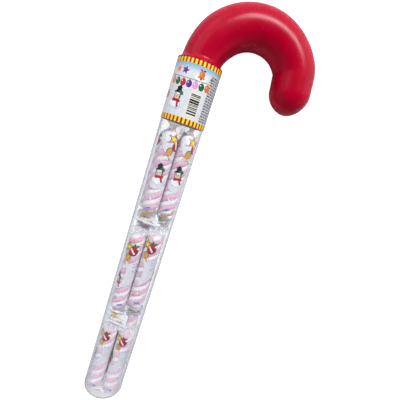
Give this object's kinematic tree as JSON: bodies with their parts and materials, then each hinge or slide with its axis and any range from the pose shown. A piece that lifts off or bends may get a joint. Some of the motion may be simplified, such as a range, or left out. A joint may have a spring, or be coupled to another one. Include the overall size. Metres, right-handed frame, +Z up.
{
  "type": "marshmallow candy cane pack",
  "caption": "Cane-shaped gift pack, lying flat: a clear tube of wrapped pink and cream marshmallow twists, a printed sleeve round its top and a red hook-shaped handle plugged into its mouth.",
  "frame": {"origin": "on the surface that the pack lies on, under the middle of its bounding box", "axes": "+Y along the tube towards the hook, +X from the tube towards the hook's open tip, +Z up, out of the shown side"},
  "size_m": [0.1544, 0.5008, 0.0508],
  "materials": {
    "red_plastic": "satin moulded red plastic",
    "clear_plastic": "clear glossy plastic",
    "printed_sleeve": "glossy printed film with striped edge bands",
    "wrapped_marshmallow": "pink and cream marshmallow in thin film"
  },
  "bodies": {
    "root": {"hook_handle": "red_plastic", "clear_tube": "clear_plastic", "label_sleeve": "printed_sleeve", "wrapped_twist_lower_front_left": "wrapped_marshmallow", "wrapped_twist_lower_front_right": "wrapped_marshmallow", "wrapped_twist_lower_back_right": "wrapped_marshmallow", "wrapped_twist_lower_back_left": "wrapped_marshmallow", "wrapped_twist_middle_front_left": "wrapped_marshmallow", "wrapped_twist_middle_front_right": "wrapped_marshmallow", "wrapped_twist_middle_back_right": "wrapped_marshmallow", "wrapped_twist_middle_back_left": "wrapped_marshmallow", "wrapped_twist_upper_front_left": "wrapped_marshmallow", "wrapped_twist_upper_front_right": "wrapped_marshmallow", "wrapped_twist_upper_back_right": "wrapped_marshmallow", "wrapped_twist_upper_back_left": "wrapped_marshmallow"}
  },
  "joints": []
}
